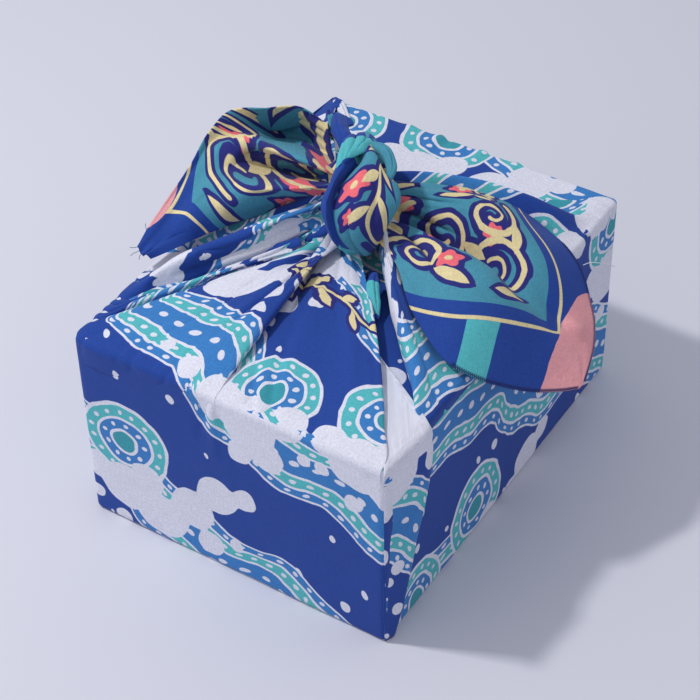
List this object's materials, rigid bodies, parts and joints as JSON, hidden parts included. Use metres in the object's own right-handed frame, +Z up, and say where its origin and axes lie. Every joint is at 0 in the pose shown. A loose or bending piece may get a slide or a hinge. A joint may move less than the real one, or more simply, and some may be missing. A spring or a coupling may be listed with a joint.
{
  "type": "furoshiki cloth wrap and carton",
  "caption": "Printed cotton furoshiki cloth folded round a box-shaped carton, with a square knot on top and the knot's free ends opened out as ears.",
  "frame": {"origin": "middle of the parcel's flat underside, on the surface it stands on", "axes": "+Z up, +Y from the front to the back along the parcel's longer side, +X to the right along the line in which the cloth's two tied corners are drawn up"},
  "size_m": [0.2174, 0.2317, 0.173],
  "materials": {
    "printed_cotton": "matt plain-weave cotton, screen printed, with an overlocked edge",
    "plain_board": "plain uncoated paperboard"
  },
  "bodies": {
    "root": {"cloth": "printed_cotton", "carton": "plain_board"}
  },
  "joints": []
}
